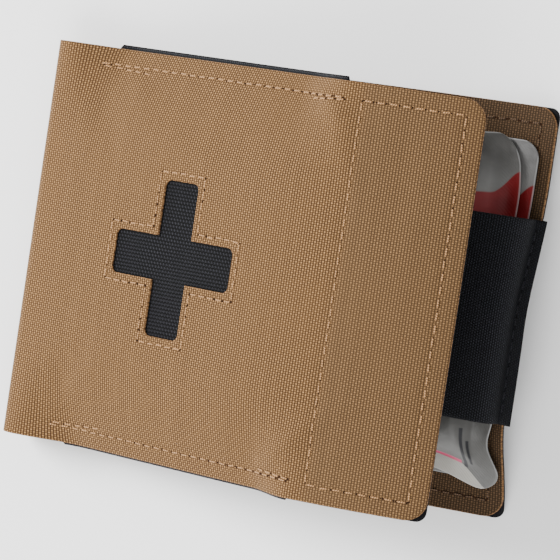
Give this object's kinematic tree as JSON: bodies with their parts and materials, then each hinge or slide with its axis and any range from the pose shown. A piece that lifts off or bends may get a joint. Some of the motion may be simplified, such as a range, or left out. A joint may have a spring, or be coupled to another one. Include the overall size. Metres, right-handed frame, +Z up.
{
  "type": "folding medical wallet",
  "caption": "Folding cloth medical wallet with a cross window, elastic bands inside, sealed dressing pouches and a folded elastic tourniquet.",
  "frame": {"origin": "on the resting face of the loop panel's plane, under the middle of the fold's straight edge, at the page's bottom edge", "axes": "+X from the fold to the fore-edge, +Y from the page's bottom edge to its top edge, +Z up from the back cover through the front cover"},
  "size_m": [0.164, 0.1227, 0.0453],
  "materials": {
    "coyote_cloth": "coyote-brown plain-woven nylon, laminated, laser-cut edge",
    "coyote_lining": "coyote-brown woven lining",
    "black_cloth": "black plain-woven nylon",
    "black_hook": "black hook fastener",
    "black_loop": "black loop fastener",
    "black_elastic": "black woven elastic webbing",
    "clear_film": "clear sealed film with plain red and grey print areas",
    "pouch_back": "white pouch backing film",
    "dressing_pad": "white absorbent pad",
    "gauze": "white cotton gauze, folded",
    "elastic_strap": "black rubber-elastic strap",
    "sleeve_film": "grey paper-film sleeve",
    "tan_thread": "tan bonded nylon thread",
    "black_thread": "black bonded nylon thread"
  },
  "bodies": {
    "back_cover": {"back_cover_shell": "coyote_cloth", "back_cover_lining": "coyote_lining", "loop_panel": "black_loop", "back_band": "black_elastic", "loop_panel_thread": "tan_thread", "back_band_thread": "black_thread"},
    "spine": {"spine_shell": "coyote_cloth", "spine_lining": "coyote_lining"},
    "front_cover": {"front_cover_shell": "coyote_cloth", "front_cover_lining": "coyote_lining", "cross_backing": "black_cloth", "hook_panel": "black_hook", "front_band": "black_elastic", "hook_panel_thread": "tan_thread", "cross_thread": "tan_thread", "front_band_top_thread": "tan_thread", "front_band_bottom_thread": "tan_thread"},
    "lower_pouch": {"lower_pouch_lower_film": "pouch_back", "lower_pouch_upper_film": "clear_film", "pressure_dressing": "dressing_pad"},
    "upper_pouch": {"upper_pouch_lower_film": "pouch_back", "upper_pouch_upper_film": "clear_film", "folded_gauze": "gauze"},
    "tourniquet": {"tourniquet_wrap": "elastic_strap", "tourniquet_sleeve": "sleeve_film"}
  },
  "joints": [
    {"name": "fold_back_side", "type": "hinge", "parent": "back_cover", "child": "spine", "pos_m": [-0.00389, 0.06032, 0.00263], "axis": [0, -1, 0], "range_deg": [0, 80.75]},
    {"name": "fold_front_side", "type": "hinge", "parent": "spine", "child": "front_cover", "pos_m": [-0.00514, 0.06032, 0.0103], "axis": [0, -1, 0], "range_deg": [0, 80.75]},
    {"name": "lower_pouch_slide", "type": "slide", "parent": "back_cover", "child": "lower_pouch", "axis": [0, 1, 0], "range_m": [0, 0.11]},
    {"name": "upper_pouch_slide", "type": "slide", "parent": "back_cover", "child": "upper_pouch", "axis": [0, 1, 0], "range_m": [0, 0.11]},
    {"name": "tourniquet_slide", "type": "slide", "parent": "front_cover", "child": "tourniquet", "axis": [0.9483, 0, 0.3173], "range_m": [0, 0.02]}
  ],
  "couplings": [
    {"joint": "fold_front_side", "follows": "fold_back_side", "ratio": 1}
  ]
}
